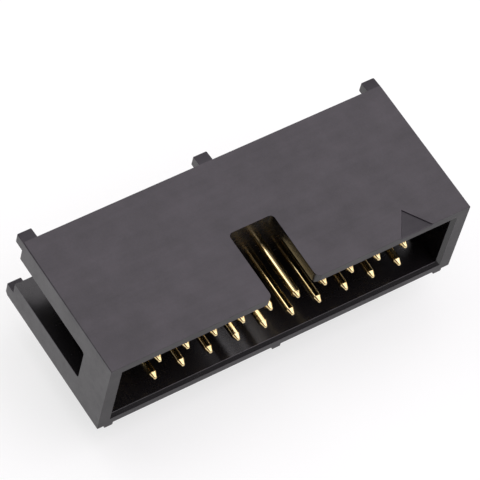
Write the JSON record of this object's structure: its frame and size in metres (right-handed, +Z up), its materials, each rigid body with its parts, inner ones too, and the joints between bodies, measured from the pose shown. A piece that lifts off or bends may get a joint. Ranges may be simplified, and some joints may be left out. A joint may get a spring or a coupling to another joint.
{
  "type": "idc box header",
  "caption": "Right-angle box header: a rectangular shroud with a key slot, around two rows of square gold-plated contacts.",
  "frame": {"origin": "on the face of the circuit board, in the middle of the two rows of tails", "axes": "+X along the rows towards contact 1, -Y out of the mouth, +Z up from the board"},
  "size_m": [0.0332, 0.0138, 0.0121],
  "materials": {
    "housing_plastic": "satin moulded glass-filled thermoplastic, black",
    "contact_gold": "drawn square wire, gold plated"
  },
  "bodies": {
    "root": {"housing": "housing_plastic", "contact_01": "contact_gold", "contact_02": "contact_gold", "contact_03": "contact_gold", "contact_04": "contact_gold", "contact_05": "contact_gold", "contact_06": "contact_gold", "contact_07": "contact_gold", "contact_08": "contact_gold", "contact_09": "contact_gold", "contact_10": "contact_gold", "contact_11": "contact_gold", "contact_12": "contact_gold", "contact_13": "contact_gold", "contact_14": "contact_gold", "contact_15": "contact_gold", "contact_16": "contact_gold", "contact_17": "contact_gold", "contact_18": "contact_gold", "contact_19": "contact_gold", "contact_20": "contact_gold"}
  },
  "joints": []
}
